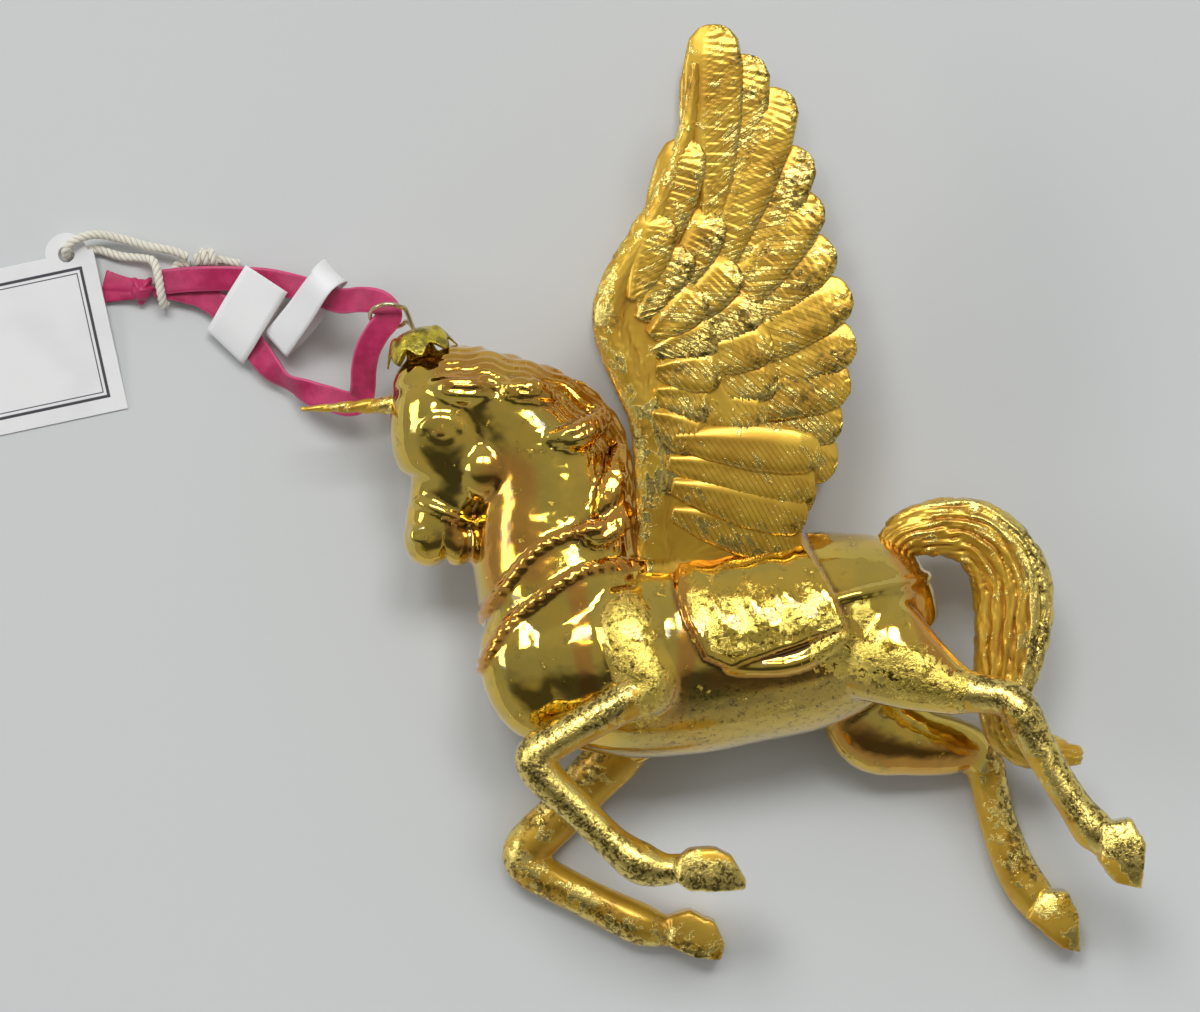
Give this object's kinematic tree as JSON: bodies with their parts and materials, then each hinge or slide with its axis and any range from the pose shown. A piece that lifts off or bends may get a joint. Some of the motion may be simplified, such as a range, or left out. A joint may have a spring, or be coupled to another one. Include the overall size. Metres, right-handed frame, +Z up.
{
  "type": "winged unicorn glass tree ornament",
  "caption": "Gold mirrored glass tree ornament in the form of a galloping winged unicorn, with cap, wire loop, satin ribbon and card tag, lying on its side.",
  "frame": {"origin": "middle of the ornament's footprint on the table it lies on, ribbon, string and tag left out", "axes": "+X from the horn to the tail, +Y from the hooves to the wing tips, +Z up from the table, out of the unicorn's left side"},
  "size_m": [0.2303, 0.168, 0.038],
  "materials": {
    "mirrored_gold_glass": "blown glass silvered inside, gold lacquer with flaked gold leaf",
    "gilded_casting": "amber lacquered casting rubbed with flaked gold leaf",
    "cap_foil": "thin crimped gold foil",
    "bright_wire": "bright drawn wire",
    "magenta_satin": "woven satin",
    "cotton_string": "twisted cotton",
    "white_card": "uncoated white card"
  },
  "bodies": {
    "root": {"glass_body": "mirrored_gold_glass", "neck_cap": "cap_foil", "hanger_wire": "bright_wire", "horn": "gilded_casting", "left_wing": "gilded_casting", "right_wing": "gilded_casting", "left_foreleg": "gilded_casting", "right_foreleg": "gilded_casting", "left_hind_leg": "gilded_casting", "right_hind_leg": "gilded_casting", "tail": "gilded_casting", "ribbon": "magenta_satin", "ribbon_knot": "magenta_satin", "hang_string": "cotton_string", "string_knot": "cotton_string", "hang_tag": "white_card", "label_lower": "white_card", "label_upper": "white_card"}
  },
  "joints": []
}
